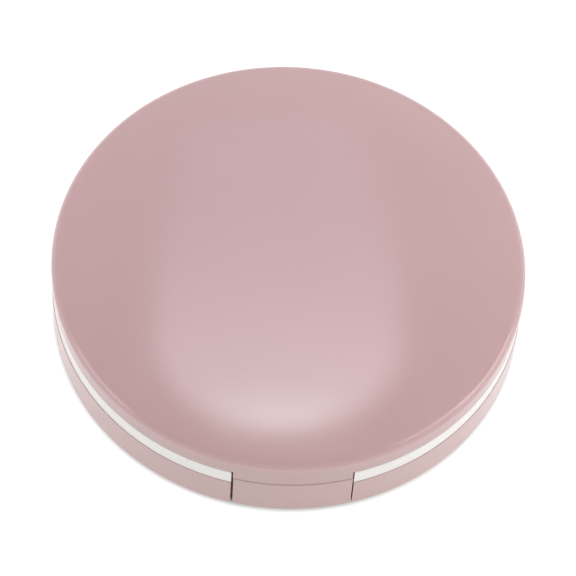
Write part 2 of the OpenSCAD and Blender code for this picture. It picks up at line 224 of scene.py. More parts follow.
def rod(name, r, start, end, count=ROUND):
    """A cylinder between two points."""
    a, b = Vector(start), Vector(end)
    turn = (b - a).to_track_quat("Z", "Y").to_matrix()
    bm = bmesh.new()
    circle = [2 * math.pi * i / count for i in range(count)]
    ends = [[bm.verts.new(centre + turn @ Vector((r * math.cos(t), r * math.sin(t), 0))) for t in circle]
            for centre in (a, b)]
    bm.faces.new(ends[0][::-1])
    bm.faces.new(ends[1])
    for i in range(count):
        j = (i + 1) % count
        bm.faces.new((ends[0][i], ends[0][j], ends[1][j], ends[1][i]))
    return link(name, bm)


def combine(obj, operation, *tools):
    """Adds (UNION), cuts (DIFFERENCE) or keeps (INTERSECT) the tools, which are used up."""
    for tool in tools:
        step = obj.modifiers.new("csg", "BOOLEAN")
        step.operation = operation
        step.solver = "EXACT"
        step.object = tool
    bpy.context.view_layer.update()
    graph = bpy.context.evaluated_depsgraph_get()
    made = bpy.data.meshes.new_from_object(obj.evaluated_get(graph))
    obj.modifiers.clear()
    obj.data = made
    for tool in tools:
        bpy.data.objects.remove(tool)
    return obj


def add(obj, *tools):
    return combine(obj, "UNION", *tools)


def cut(obj, *tools):
    return combine(obj, "DIFFERENCE", *tools)


def keep(obj, *tools):
    return combine(obj, "INTERSECT", *tools)


def soften(obj, width, segments=3, angle=SHARP, where=None):
    """Rounds the sharp edges of a mesh, all of them or those whose midpoint passes where."""
    bm = bmesh.new()
    bm.from_mesh(obj.data)
    bmesh.ops.remove_doubles(bm, verts=bm.verts, dist=1e-4)
    bmesh.ops.dissolve_limit(bm, angle_limit=math.radians(0.05), verts=bm.verts, edges=bm.edges)
    limit = math.radians(angle)
    sharp = [e for e in bm.edges if len(e.link_faces) == 2 and e.calc_face_angle(0) > limit
             and (where is None or where((e.verts[0].co + e.verts[1].co) / 2))]
    bmesh.ops.bevel(bm, geom=sharp, offset=width, segments=segments, profile=0.5, affect="EDGES",
                    clamp_overlap=True)
    bm.to_mesh(obj.data)
    bm.free()
    return obj


def finish_piece(obj, body, node, material):
    """Scales a piece to metres, shades it and hangs it on its body, if it has one, in place of a CAD node."""
    obj.data.transform(Matrix.Scale(MM, 4))
    bm = bmesh.new()
    bm.from_mesh(obj.data)
    for face in bm.faces:
        face.smooth = True
    for edge in bm.edges:
        edge.smooth = len(edge.link_faces) == 2 and edge.calc_face_angle(0) < math.radians(SMOOTH)
    bm.to_mesh(obj.data)
    bm.free()
    shade = obj.modifiers.new("shade", "WEIGHTED_NORMAL")
    shade.keep_sharp = True
    obj.data.materials.clear()
    obj.data.materials.append(material)
    if body:
        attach(obj, body)
    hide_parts(node)
    return obj


def rounded(low, high, r, count=10):
    """Outline of a rounded rectangle."""
    (x0, y0), (x1, y1) = low, high
    return (arc(x1 - r, y0 + r, r, -90, 0, count) + arc(x1 - r, y1 - r, r, 0, 90, count)
            + arc(x0 + r, y1 - r, r, 90, 180, count) + arc(x0 + r, y0 + r, r, 180, 270, count))


def filleted(points, r, count=8):
    """An outline with each corner rounded by radius r."""
    made = []
    for i, here in enumerate(points):
        p, q, s = (Vector(v) for v in (points[i - 1], here, points[(i + 1) % len(points)]))
        a, b = (p - q).normalized(), (s - q).normalized()
        half = math.acos(max(-1.0, min(1.0, a.dot(b)))) / 2
        centre = q + (a + b).normalized() * (r / math.sin(half))
        start, end = q + a * (r / math.tan(half)) - centre, q + b * (r / math.tan(half)) - centre
        turn = math.atan2(start.x * end.y - start.y * end.x, start.dot(end))
        for k in range(count + 1):
            made.append(tuple(centre + Matrix.Rotation(turn * k / count, 2) @ start))
    return made


def cell(x0, x1, y0, grow, turn=0, mirror=False, count=10):
    """Outline of a well between x0 and x1, from y0 to the wells' outer circle, turned in degrees."""
    xa, xb, y = x0 + CELL_R, x1 - CELL_R, y0 + CELL_R
    reach = WELL_R - CELL_R
    ya, yb = math.sqrt(reach * reach - xa * xa), math.sqrt(reach * reach - xb * xb)
    r = CELL_R + grow
    ta, tb = math.degrees(math.atan2(ya, xa)), math.degrees(math.atan2(yb, xb))
    points = (arc(xa, y, r, 180, 270, count) + arc(xb, y, r, -90, 0, count) + arc(xb, yb, r, 0, tb, count)
              + arc(0, 0, WELL_R + grow, tb, ta, 40)[1:-1] + arc(xa, ya, r, ta, 180, count))
    if mirror:
        points = [(-x, y) for x, y in points][::-1]
    c, s = math.cos(math.radians(turn)), math.sin(math.radians(turn))
    return [(c * x - s * y, s * x + c * y) for x, y in points]


# ---------------------------------------------------------------- materials

def range_node(tree, source, low, high, start, end, kind="LINEAR"):
    """A Map Range node that runs from low to high as the source goes from start to end."""
    node = tree.nodes.new("ShaderNodeMapRange")
    node.interpolation_type = kind
    for name, value in (("From Min", start), ("From Max", end), ("To Min", low), ("To Max", high)):
        node.inputs[name].default_value = value
    tree.links.new(source, node.inputs["Value"])
    return node.outputs["Result"]


def math_node(tree, operation, first, second=None):
    """A Math node fed by sockets or numbers."""
    node = tree.nodes.new("ShaderNodeMath")
    node.operation = operation
    for socket, value in zip(node.inputs, (first, second)):
        if isinstance(value, bpy.types.NodeSocket):
            tree.links.new(value, socket)
        elif value is not None:
            socket.default_value = value
    return node.outputs["Value"]


class Nodes:
    """Short calls for building one material."""

    def __init__(self, name):
        self.mat = bpy.data.materials.new(name)
        self.mat.use_nodes = True
        self.tree = self.mat.node_tree
        self.bsdf = self.tree.nodes["Principled BSDF"]
        self.coords = self.add("ShaderNodeTexCoord").outputs["Object"]

    def add(self, kind, **values):
        node = self.tree.nodes.new(kind)
        for key, value in values.items():
            setattr(node, key, value)
        return node

    def wire(self, source, target):
        self.tree.links.new(source, target)

    def noise(self, scale, detail=2.0, rough=0.5, stretch=None):
        node = self.add("ShaderNodeTexNoise")
        node.inputs["Scale"].default_value = scale
        node.inputs["Detail"].default_value = detail
        node.inputs["Roughness"].default_value = rough
        if stretch:
            mapping = self.add("ShaderNodeMapping")
            mapping.inputs["Scale"].default_value = stretch
            self.wire(self.coords, mapping.inputs["Vector"])
            self.wire(mapping.outputs["Vector"], node.inputs["Vector"])
        else:
            self.wire(self.coords, node.inputs["Vector"])
        return node.outputs["Fac"]

    def span(self, source, low, high, start=0.3, end=0.7):
        """Maps a noise value to a range."""
        return range_node(self.tree, source, low, high, start, end)

    def tint(self, source, first, second, start=0.3, end=0.7):
        """Colour that runs from first to second with a noise value."""
        ramp = self.add("ShaderNodeValToRGB")
        ramp.color_ramp.elements[0].position = start
        ramp.color_ramp.elements[1].position = end
        ramp.color_ramp.elements[0].color = (*first, 1)
        ramp.color_ramp.elements[1].color = (*second, 1)
        self.wire(source, ramp.inputs["Fac"])
        return ramp.outputs["Color"]

    def bump(self, source, strength, distance):
        node = self.add("ShaderNodeBump")
        node.inputs["Strength"].default_value = strength
        node.inputs["Distance"].default_value = distance
        self.wire(source, node.inputs["Height"])
        return node.outputs["Normal"]

    def set(self, **values):
        for key, value in values.items():
            socket = self.bsdf.inputs[key.replace("_", " ")]
            if isinstance(value, bpy.types.NodeSocket):
                self.wire(value, socket)
            else:
                socket.default_value = value
        return self.mat


def scaled(colour, factor):
    return tuple(min(1.0, c * factor) for c in colour)


def moulded_plastic(name, colour, rough, grain=0.16, glow=0.0, spread=0.012, below=None):
    """Satin injection-moulded plastic: slow colour drift, fine spark-eroded grain, patchy gloss.

    glow is the light let under the surface, spread how far the colour drifts either way, and below a greyer,
    darker pink painted on the upright walls under the lid's shoulder, as painted sheen and shade.
    """
    n = Nodes(name)
    drift = n.noise(45, 3)
    fine = n.noise(4700, 2, 0.5)
    patch = n.noise(210, 4, 0.6)
    body = n.tint(drift, scaled(colour, 1 - spread), scaled(colour, 1 + spread))
    # Painted sheen and shade: under the lid's shoulder the colour is blended by height to a greyer, darker pink.
    if below:
        height = n.add("ShaderNodeSeparateXYZ")
        n.wire(n.coords, height.inputs["Vector"])
        wall_sheen_blend = n.add("ShaderNodeMix", data_type="RGBA")
        n.wire(n.span(height.outputs["Z"], 0, 1, (SHOULDER_Z - 1.4) * MM, (SHOULDER_Z - 0.1) * MM),
               wall_sheen_blend.inputs["Factor"])
        wall_sheen_blend.inputs["A"].default_value = (*below, 1)
        n.wire(body, wall_sheen_blend.inputs["B"])
        body = wall_sheen_blend.outputs["Result"]
    n.set(Base_Color=body,
          Roughness=n.span(patch, rough * 0.88, rough * 1.12),
          Normal=n.bump(fine, grain, 0.00006))
    n.bsdf.inputs["IOR"].default_value = 1.5
    if glow:
        n.bsdf.inputs["Subsurface Weight"].default_value = glow
        n.bsdf.inputs["Subsurface Radius"].default_value = (1.0, 0.8, 0.7)
        n.bsdf.inputs["Subsurface Scale"].default_value = 0.0012
    return n.mat


PINK = (0.522, 0.334, 0.344)
# Pink greyed towards white for the upright walls of base, button and lid: a painted sheen standing in for the pale
# floor those walls reflect.
PINK_PAINTED_WALL_SHEEN = (0.506, 0.346, 0.342)
CREAM = (0.762, 0.738, 0.724)

# The lid's wall under its shoulder gets the painted-sheen pink, darkened further as painted shade.
pink_plastic = moulded_plastic("pink_satin_plastic", PINK, 0.13, below=scaled(PINK_PAINTED_WALL_SHEEN, 0.94))
base_plastic = moulded_plastic("pink_base_plastic", PINK_PAINTED_WALL_SHEEN, 0.19)
button_plastic = moulded_plastic("pink_button_plastic", scaled(PINK_PAINTED_WALL_SHEEN, 0.975), 0.19)
white_plastic = moulded_plastic("cream_plastic", CREAM, 0.3, spread=0.008)
liner_plastic = moulded_plastic("liner_plastic", scaled(CREAM, 0.98), 0.4, grain=0.12, glow=0.05)


def silicone(name, colour, rough=0.5):
    """Soft moulded silicone: milky, with a bloom of fine dust and a matt grain."""
    n = Nodes(name)
    dust = n.noise(900, 5, 0.65)
    grain = n.noise(7000, 2)
    n.set(Base_Color=n.tint(dust, scaled(colour, 0.97), scaled(colour, 1.03)),
          Roughness=n.span(dust, rough * 0.85, rough * 1.2), Normal=n.bump(grain, 0.12, 0.00003))
    n.bsdf.inputs["Subsurface Weight"].default_value = 0.25
    n.bsdf.inputs["Subsurface Radius"].default_value = (1.0, 0.7, 0.6)
    n.bsdf.inputs["Subsurface Scale"].default_value = 0.0015
    n.bsdf.inputs["Sheen Weight"].default_value = 0.15
    return n.mat


def steel(name, colour, rough, stretch, lines=900):
    """Metal with fine drawn or ground lines along one direction."""
    n = Nodes(name)
    grind = n.noise(lines, 4, 0.7, stretch)
    stain = n.noise(160, 4, 0.6)
    n.set(Base_Color=n.tint(stain, scaled(colour, 0.93), scaled(colour, 1.04)),
          Roughness=n.span(grind, rough * 0.7, rough * 1.4), Normal=n.bump(grind, 0.12, 0.00001))
    n.bsdf.inputs["Metallic"].default_value = 1.0
    return n.mat


def clear_plastic(name):
    """Clear styrene with faint flow lines."""
    n = Nodes(name)
    flow = n.noise(120, 2, 0.5, (1, 0.2, 1))
    n.set(Base_Color=n.tint(flow, (0.88, 0.92, 0.93), (0.95, 0.97, 0.975)),
          Roughness=n.span(flow, 0.1, 0.2), Normal=n.bump(flow, 0.05, 0.0002))
    n.bsdf.inputs["Transmission Weight"].default_value = 0.55
    n.bsdf.inputs["IOR"].default_value = 1.3
    return n.mat


blade_metal = steel("ground_blade_steel", (0.66, 0.665, 0.68), 0.26, (1, 0.03, 1))
screw_metal = steel("plated_screw_steel", (0.55, 0.555, 0.57), 0.32, (1, 1, 0.1))
pin_metal = steel("drawn_pin_steel", (0.60, 0.60, 0.62), 0.24, (0.03, 1, 1))
spring_metal = steel("spring_wire_steel", (0.48, 0.485, 0.50), 0.3, (1, 1, 1), 2500)
cradle_rubber = silicone("cradle_silicone", (0.60, 0.44, 0.45))
seal_rubber = silicone("seal_silicone", (0.72, 0.70, 0.69))
foot_rubber = silicone("foot_silicone", (0.50, 0.485, 0.475), 0.6)
guard_plastic = clear_plastic("clear_guard")


# ---------------------------------------------------------------- lid

def dome_numbers():
    """Radius and centre height of the dome, and its slope where the shoulder starts."""
    rise = CROWN_Z - SHOULDER_Z
    flat = CASE_R - SHOULDER_R
    r = (flat * flat + rise * rise - SHOULDER_R * SHOULDER_R) / (2 * (rise - SHOULDER_R))
    return r, CROWN_Z - r, math.degrees(math.asin(flat / (r - SHOULDER_R)))


def lid_profile():
    """Section of the lid shell, its wall drawn down to the tongue's edge."""
    r, centre, tilt = dome_numbers()
    inner = CASE_R - LID_WALL
    inner_tilt = math.degrees(math.asin(inner / (r - LID_WALL)))
    shoulder = arc(CASE_R - SHOULDER_R, SHOULDER_Z, SHOULDER_R, 90 - tilt, 0, 14)
    outside = arc(0, centre, r, 90, 90 - tilt, 56) + shoulder[1:]
    wall = [(CASE_R, LID_WALL_Z), (CASE_R, TONGUE_Z), (inner, TONGUE_Z), (inner, LID_WALL_Z)]
    inside = arc(0, centre, r - LID_WALL, 90 - inner_tilt, 90, 40)
    outside[0] = (0, CROWN_Z)
    inside[-1] = (0, CROWN_Z - LID_WALL)
    return outside + wall + inside


def rectangle(r0, z0, r1, z1):
    """A rectangle to revolve, listed from its low outer corner, upwards first."""
    return [(r0, z0), (r0, z1), (r1, z1), (r1, z0)]


def make_lid():
    lid = revolve("lid_cover", lid_profile())
    around_tongue = ((-FAR, FAR), (-FAR, -FAR), (-TONGUE_HALF, -FAR), (-TONGUE_HALF, -20), (TONGUE_HALF, -20),
                     (TONGUE_HALF, -FAR), (FAR, -FAR), (FAR, FAR))
    cut(lid, prism("t", around_tongue, TONGUE_Z - 5, RIM_Z))
    ledge = revolve("t", rectangle(CASE_R - 1, TONGUE_Z + 0.2, CASE_R - 2.6, TONGUE_Z + 0.9))
    keep(ledge, box("t", (-LEDGE_HALF, -FAR, 0), (LEDGE_HALF, 0, ABOVE)))
    knuckle = rod("t", KNUCKLE_R, (-LID_KNUCKLE, HINGE_Y, HINGE_Z), (LID_KNUCKLE, HINGE_Y, HINGE_Z))
    web = box("t", (-LID_KNUCKLE, HINGE_Y - KNUCKLE_R, HINGE_Z),
              (LID_KNUCKLE, HINGE_Y + 1.6, HINGE_Z + WEB_RISE))
    add(lid, ledge, knuckle, web)
    pockets = []
    for s in (-1, 1):
        x0, x1 = sorted((s * (LID_KNUCKLE + 0.1), s * BARREL_HALF))
        pockets.append(box("t", (x0, HINGE_Y - SWING_R, HINGE_Z - 4),
                           (x1, HINGE_Y + SWING_R + 1, HINGE_Z + SWING_R)))
    cut(lid, rod("t", PIN_R + 0.05, (-12, HINGE_Y, HINGE_Z), (12, HINGE_Y, HINGE_Z), 32), *pockets)
    soften(lid, 0.22)
    return finish_piece(lid, "lid", "lid_shell", pink_plastic)


# ---------------------------------------------------------------- base

def base_profile():
    """Section of the base shell, with a shallow disc sunk into its underside."""
    inner = CASE_R - BASE_WALL
    r = 0.5
    foot = arc(CASE_R - r, BASE_BOTTOM + r, r, -90, 0, 8)
    disc = [(0, BASE_BOTTOM + DISC_DEPTH), (DISC_R, BASE_BOTTOM + DISC_DEPTH), (23.6, BASE_BOTTOM)]
    return disc + foot + [(CASE_R, BASE_TOP), (inner, BASE_TOP), (inner, BASE_FLOOR), (0, BASE_FLOOR)]


def arc_front(half, r, y_shift):
    """Outline in front of an arc of radius r, as wide as 2 * half."""
    a = math.degrees(math.asin(half / r))
    return arc(0, y_shift, r, -90 + a, -90 - a, 24) + [(-half, -FAR), (half, -FAR)]


def make_base():
    base = revolve("base_case", base_profile())
    front = arc_front(TONGUE_HALF + BUTTON_GAP, CASE_R - BASE_WALL, BUTTON_TRAVEL + 0.2)
    opening = prism("t", front, -2, ABOVE)
    notch = box("t", (-REAR_HALF - 0.05, REAR_Y - 1, REAR_FLOOR - 1.45), (REAR_HALF + 0.05, FAR, ABOVE))
    cut(base, opening, notch)
    seats = []
    for x, y in FEET:
        seats.append(rod("t", FOOT_SEAT_R, (x, y, -1), (x, y, BASE_BOTTOM + SEAT_DEPTH)))
    for x, y in CASE_SCREWS:
        seats.append(rod("t", SCREW_HEAD_R, (x, y, -1), (x, y, BASE_BOTTOM + SEAT_DEPTH), 48))
        seats.append(rod("t", SCREW_HOLE_R, (x, y, 0), (x, y, 3), 32))
    cut(base, *seats)
    # The edges of the button's opening are rounder than the rest, and the rim under the band stays crisp.
    soften(base, 0.15, 3, where=lambda p: p.y < -30 and BASE_BOTTOM + 0.5 < p.z < BASE_TOP - 0.1)
    soften(base, 0.08, 2, where=lambda p: p.z < BASE_TOP - 0.1)
    return finish_piece(base, "base", "base_shell", base_plastic)


# ---------------------------------------------------------------- button

def front_slice(x0, x1):
    """The front half of space between two values of x."""
    return box("t", (x0, -FAR, -1), (x1, 0, ABOVE))


def make_button():
    top = TONGUE_Z - 0.2
    low = BASE_BOTTOM + 0.1
    inner = CASE_R - BASE_WALL
    foot = arc(CASE_R - 0.5, low + 0.5, 0.5, -90, 0, 8)
    plate = revolve("release_button_plate", foot + [(CASE_R, top), (inner, top), (inner, low)])
    keep(plate, front_slice(-TONGUE_HALF, TONGUE_HALF))
    soften(plate, 0.4, 4, where=lambda p: p.z > top - 0.05 and math.hypot(p.x, p.y) > CASE_R - 0.3)
    soften(plate, 0.12, 3)
    # The flange backs the two cuts, the wings hold the button in, and the bridge joins them to the plate.
    z0, z1 = BASE_FLOOR + 0.15, CHAMBER_TOP - 0.2
    flange = revolve("t", rectangle(inner - 0.02, BASE_BOTTOM + 0.2, inner - 0.1, z0 + 0.3))
    keep(flange, front_slice(-FLANGE_HALF - BUTTON_SHIFT, FLANGE_HALF - BUTTON_SHIFT))
    wings = revolve("t", rectangle(inner - 0.1, z0, inner - 1.3, z1))
    keep(wings, front_slice(-WINGS_HALF, WINGS_HALF))
    bridge = revolve("t", rectangle(inner + 0.1, z0, inner - 0.5, z1))
    keep(bridge, front_slice(-BRIDGE_HALF, BRIDGE_HALF))
    add(wings, flange)
    add(plate, wings, bridge, latch_hook(z0))
    for x in (-BOSS_X, BOSS_X):
        add(plate, rod("t", BOSS_R, (x, -CASE_R + 2.5, BOSS_Z), (x, -CASE_R + 4, BOSS_Z), 32))
    plate.data.transform(Matrix.Translation((BUTTON_SHIFT, 0, 0)))
    return finish_piece(plate, "button", "release_button", button_plastic)


def latch_hook(foot):
    """The hook behind the tongue, from its section in the plane x = 0."""
    inner = CASE_R - BASE_WALL
    nose, tip, stem = TONGUE_Z + 1, -CASE_R + 2.15, CHAMBER_Y - BUTTON_TRAVEL - 0.1
    section = [(-inner + 0.2, foot), (-inner + 0.2, foot + 1.1), (stem - 1, foot + 1.1), (stem - 1, nose),
               (tip, nose), (tip, nose + 0.3), (stem - 0.9, nose + 0.85), (stem, nose + 0.85), (stem, foot)]
    hook = prism("t", section, -HOOK_HALF, HOOK_HALF)
    hook.data.transform(Matrix(((0, 0, 1, 0), (1, 0, 0, 0), (0, 1, 0, 0), (0, 0, 0, 1))))
    soften(hook, 0.12, 2)
    return hook


# ---------------------------------------------------------------- tray

def tray_profile():
    """Section of the tray's skirt, band and deck, with the groove under the seal."""
    under = [(0, DECK_Z - SKIN), (RIM_IN, DECK_Z - SKIN), (RIM_IN, SKIRT_Z), (SKIRT_R, SKIRT_Z), (SKIRT_R, BASE_TOP)]
    band = [(BAND_R, BASE_TOP), (BAND_R, BAND_TOP - BAND_CHAMFER), (BAND_R - BAND_CHAMFER, BAND_TOP),
            (RIM_IN, BAND_TOP), (RIM_IN, DECK_Z)]
    outer, inner, low = SEAL_OUT + 0.2, SEAL_IN - 0.2, DECK_Z - GROOVE_DEPTH
    groove = [(outer, DECK_Z), (outer, low), (inner, low), (inner, DECK_Z)]
    return under + band + groove + [(0, DECK_Z)]


def well_outlines(grow):
    """Plan of each well and the height of its floor. grow widens the plans for the walls outside them."""
    side, inner = 19.2, 19.4
    (x0, y0), (x1, y1) = RECESS
    recess = rounded((x0 - grow, y0 - grow), (x1 + grow, y1 + grow), CELL_R + grow)
    wells = [(cell(-11.2, 11.2, 16.4, grow), WELL_FLOOR), (cell(-7.4, 7.4, 18.4, grow, 180), DISH_FLOOR),
             (recess, RECESS_FLOOR)]
    for turn in (-90, 90):
        if grow:
            wells.append((cell(-side, side, inner, grow, turn), WELL_FLOOR))
        else:
            wells += [(cell(0.6, side, inner, 0, turn, mirror), WELL_FLOOR) for mirror in (False, True)]
    return wells


def make_tray():
    tray = revolve("tray_moulding", tray_profile())
    top = DECK_Z - 0.3
    add(tray, *[prism("t", outline, floor - SKIN, top) for outline, floor in well_outlines(SKIN)])
    half = CHAMBER_HALF + 1
    add(tray, box("t", (-half, CHAMBER_Y, CHAMBER_TOP), (half, CHAMBER_Y + 1.4, top)),
        box("t", (-half, CHAMBER_Y + 0.3, CHAMBER_TOP + 0.01), (half, CHAMBER_BACK + 1.2, CHAMBER_TOP + 1.2)),
        box("t", (-half, CHAMBER_BACK, BASE_FLOOR + 0.1), (half, CHAMBER_BACK + 1.21, CHAMBER_TOP + 1.1)))
    for x, y in CASE_SCREWS:
        add(tray, rod("t", SCREW_POST_R, (x, y, BASE_FLOOR + 0.1), (x, y, top), 40))
    rear_under = REAR_FLOOR - REAR_SKIN
    floor = revolve("t", [(SKIRT_R, rear_under), (BAND_R, rear_under), (BAND_R, REAR_FLOOR), (30, REAR_FLOOR),
                          (30, rear_under)])
    keep(floor, box("t", (-REAR_HALF, REAR_Y - 0.6, 0), (REAR_HALF, FAR, ABOVE)))
    back = box("t", (-REAR_HALF - 1, REAR_Y - 1.2, rear_under), (REAR_HALF + 1, REAR_Y, top))
    add(tray, floor, back)
    cut(tray, *[prism("t", outline, floor_z, 30, foot=WELL_FOOT) for outline, floor_z in well_outlines(0)])
    cut(tray, box("t", (-NOTCH_HALF, -FAR, -1), (NOTCH_HALF, CHAMBER_Y, ABOVE)),
        box("t", (-CHAMBER_HALF, -FAR, -1), (CHAMBER_HALF, CHAMBER_BACK, CHAMBER_TOP)),
        box("t", (-REAR_HALF, REAR_Y, REAR_FLOOR), (REAR_HALF, FAR, ABOVE)))
    for x, y in CASE_SCREWS:
        cut(tray, rod("t", SCREW_HOLE_R, (x, y, 0), (x, y, BASE_FLOOR + 5.4), 24))
    for s in (-1, 1):
        a, b = s * TRAY_KNUCKLE[0], s * TRAY_KNUCKLE[1]
        knuckle = rod("t", KNUCKLE_R, (a, HINGE_Y, HINGE_Z), (b, HINGE_Y, HINGE_Z))
        stand = box("t", (min(a, b), HINGE_Y - KNUCKLE_R, REAR_FLOOR - 0.2), (max(a, b), HINGE_Y + 0.9, HINGE_Z))
        add(knuckle, stand)
        cut(knuckle, rod("t", PIN_R + 0.02, (a - s, HINGE_Y, HINGE_Z), (b + s, HINGE_Y, HINGE_Z), 32))
        add(tray, knuckle)
    # The band's own top and bottom edges stay crisp.
    soften(tray, 0.22, where=lambda p: (math.hypot(p.x, p.y) < SKIRT_R + 0.3
                                        or BASE_TOP + 0.2 < p.z < BAND_TOP - 0.5))
    return finish_piece(tray, "base", "tray", white_plastic)


# ---------------------------------------------------------------- cutter

def make_liner():
    """The plate that closes the lid, with raised rings, a frame round the blade's slot and the blade's posts."""
    z, top, r = LINER_LOW.z, LINER_LOW.z + 1, LINER_HIGH.x
    ring = z - RING_RISE
    bed = z + 0.5
    plate = revolve("liner_plate", [
        (0, z), (29.4, z), (29.6, ring), (30.5, ring), (30.7, z),
        (SEAL_IN, z), (SEAL_IN, bed), (SEAL_OUT, bed), (SEAL_OUT, z),
        (34.3, z), (34.5, ring), (35.0, ring), (35.2, z),
        (r - 0.3, z), (r, z + 0.3), (r, top), (0, top)])
    post_y = GUARD_HALF + 2.4
    frame_low, frame_high = (-GUARD_SLOT - 2.2, -post_y), (GUARD_SLOT + 2.2, post_y)
    add(plate, prism("t", rounded(frame_low, frame_high, 2.2), z - 0.35, bed))
    pads = [rod("t", 3.1, (x, y, z - 0.2), (x, y, bed), 48) for x, y in LINER_SCREWS]
    posts = [box("t", (-POST_HALF, s * post_y - 1.9, top - 0.1), (-0.22, s * post_y + 1.9, LINER_HIGH.z))
             for s in (-1, 1)]
    add(plate, *pads, *posts)
    cuts = [box("t", (-GUARD_SLOT, -GUARD_HALF - 0.2, 0), (GUARD_SLOT, GUARD_HALF + 0.2, top + 1)),
            box("t", (-BARREL_HALF - 0.1, REAR_Y - 0.1, 0), (BARREL_HALF + 0.1, CASE_R, top + 1))]
    for x, y in LINER_SCREWS:
        cuts += [rod("t", SCREW_HEAD_R, (x, y, z - 1), (x, y, z + SEAT_DEPTH), 48),
                 rod("t", SCREW_HOLE_R, (x, y, z), (x, y, z + 4), 32)]
    ear_z = BLADE_HIGH.z - 1.6
    for s in (-1, 1):
        ear_y = s * (BLADE_HALF - 1.4)
        cuts.append(rod("t", 0.82, (-8, ear_y, ear_z), (8, ear_y, ear_z), 24))
    cut(plate, *cuts)
    soften(plate, 0.1, 2)
    return finish_piece(plate, "lid", "lid_liner", liner_plastic)


def make_cradle():
    """The soft pad: a V against which the pill sits, a slot for the blade, grip ribs and a thumb scoop."""
    low, high = cad_box("pill_cradle")
    floor = low.z + 1.55
    pad = prism("pill_cradle_pad", rounded((low.x, low.y), (high.x, high.y), CELL_R - 0.2), low.z, high.z)
    pocket = filleted([(0, 9), (-14, -5), (-14, -13.4), (14, -13.4), (14, -5)], 0.9)
    scoop = filleted([(-8, -20), (8, -20), (7, -12.4), (-7, -12.4)], 0.8)
    cut(pad, prism("t", pocket, floor, 20, foot=0.45), prism("t", scoop, floor + 1.6, 20, foot=0.6),
        prism("t", rounded((-0.5, -12.7), (0.5, 12.6), 0.35, 4), floor - 0.9, 20))
    soften(pad, 0.3, 3)
    ribs = []
    for i in range(9):
        y = RIB_START + RIB_PITCH * i
        reach = min(12.6, 7.4 - y)
        if reach <= 2.6:
            continue
        y0, y1 = y - RIB_HALF, y + RIB_HALF
        for s in (-1, 1):
            x0, x1 = sorted((s * 1.5, s * reach))
            plan = filleted([(x0, y0), (x1, y0), (x1, y1), (x0, y1)], 0.27, 4)
            rib = prism("t", plan, floor - 0.1, floor + 0.24)
            soften(rib, 0.12, 2, 60)
            ribs.append(rib)
    add(pad, *ribs)
    return finish_piece(pad, "base", "pill_cradle", cradle_rubber)


def coil(name, r, wire, start, end, turns):
    """Round wire wound about the line from start to end, its last turn closed up at each end."""
    a, b = Vector(start), Vector(end)
    length, turn = (b - a).length, (b - a).to_track_quat("Z", "Y").to_matrix()
    closed, sides, steps = 0.9, 12, int(turns * 32)
    lead = wire * closed

    def place(t):
        done = t * turns
        if done < closed:
            z = wire * done
        elif done > turns - closed:
            z = length - wire - wire * (turns - done)
        else:
            z = lead + (length - wire - 2 * lead) * (done - closed) / (turns - 2 * closed)
        angle = 2 * math.pi * done
        return Vector(((r - wire / 2) * math.cos(angle), (r - wire / 2) * math.sin(angle), z + wire / 2))

    bm = bmesh.new()
    rings = []
    for i in range(steps + 1):
        here = place(i / steps)
        ahead = (place(min(1, (i + 1) / steps)) - place(max(0, (i - 1) / steps))).normalized()
        out = Vector((here.x, here.y, 0)).normalized()
        side = ahead.cross(out).normalized()
        angles = [2 * math.pi * k / sides for k in range(sides)]
        rings.append([bm.verts.new(a + turn @ (here + wire / 2 * (math.cos(t) * out + math.sin(t) * side)))
                      for t in angles])
    for p, q in zip(rings, rings[1:]):
        for k in range(sides):
            m = (k + 1) % sides
            bm.faces.new((p[k], p[m], q[m], q[k]))
    bm.faces.new(rings[0][::-1])
    bm.faces.new(rings[-1])
    return link(name, bm)


def make_springs():
    """Coils of wire for the button's and the guard's springs, wound at rest length; in the object the button's
    shorten as it is pressed and the guard's lengthen as it drops.
    """
    for side in ("left", "right"):
        for kind, other, axis, turns in (("button", "base", 1, 5), ("guard", "lid", 2, 4.5)):
            low, high = cad_box(f"{kind}_spring_{side}")
            start, end = (low + high) / 2, (low + high) / 2
            start[axis], end[axis] = low[axis], high[axis]
            spring = coil(f"{kind}_spring_wire_{side}", (high.x - low.x) / 2, SPRING_WIRE, start, end, turns)
            finish_piece(spring, None, f"{kind}_spring_{side}", spring_metal)
            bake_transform(spring)


# ---------------------------------------------------------------- CAD nodes that stay

def dress(node, material, width=0.0):
    """Gives a CAD node its material, and rounds its edges with modifiers."""
    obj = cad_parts[node]
    obj.data.materials.clear()
    obj.data.materials.append(material)
    if width:
        weld = obj.modifiers.new("weld", "WELD")
        weld.merge_threshold = 0.000002
        flat = obj.modifiers.new("flat", "DECIMATE")
        flat.decimate_type = "DISSOLVE"
        flat.angle_limit = math.radians(0.5)
        edge = obj.modifiers.new("edge", "BEVEL")
        edge.width = width * MM
        edge.segments = 2
        edge.limit_method = "ANGLE"
        edge.angle_limit = math.radians(SHARP)
        edge.harden_normals = True


def dress_nodes():
    dress("lid_seal", seal_rubber)
    dress("blade", blade_metal)
    dress("blade_guard", guard_plastic, 0.12)
    for end in ("front", "rear"):
        dress("blade_clamp_" + end, liner_plastic, 0.2)
        dress("blade_screw_" + end, screw_metal, 0.05)
    dress("hinge_pin", pin_metal)
    for i in range(1, 5):
        dress(f"liner_screw_{i}", screw_metal, 0.05)
        dress(f"case_screw_{i}", screw_metal, 0.05)
        dress(f"foot_{i}", foot_rubber, 0.1)


# ---------------------------------------------------------------- studio

# The camera, in metres and unit directions.
CAMERA_AT = (-0.02248, -0.26787, 0.44077)
CAMERA_FORWARD = (0.04426, 0.52360, -0.85081)
CAMERA_UP = (-0.00290, 0.85171, 0.52400)
CAMERA_LENS = 186.94

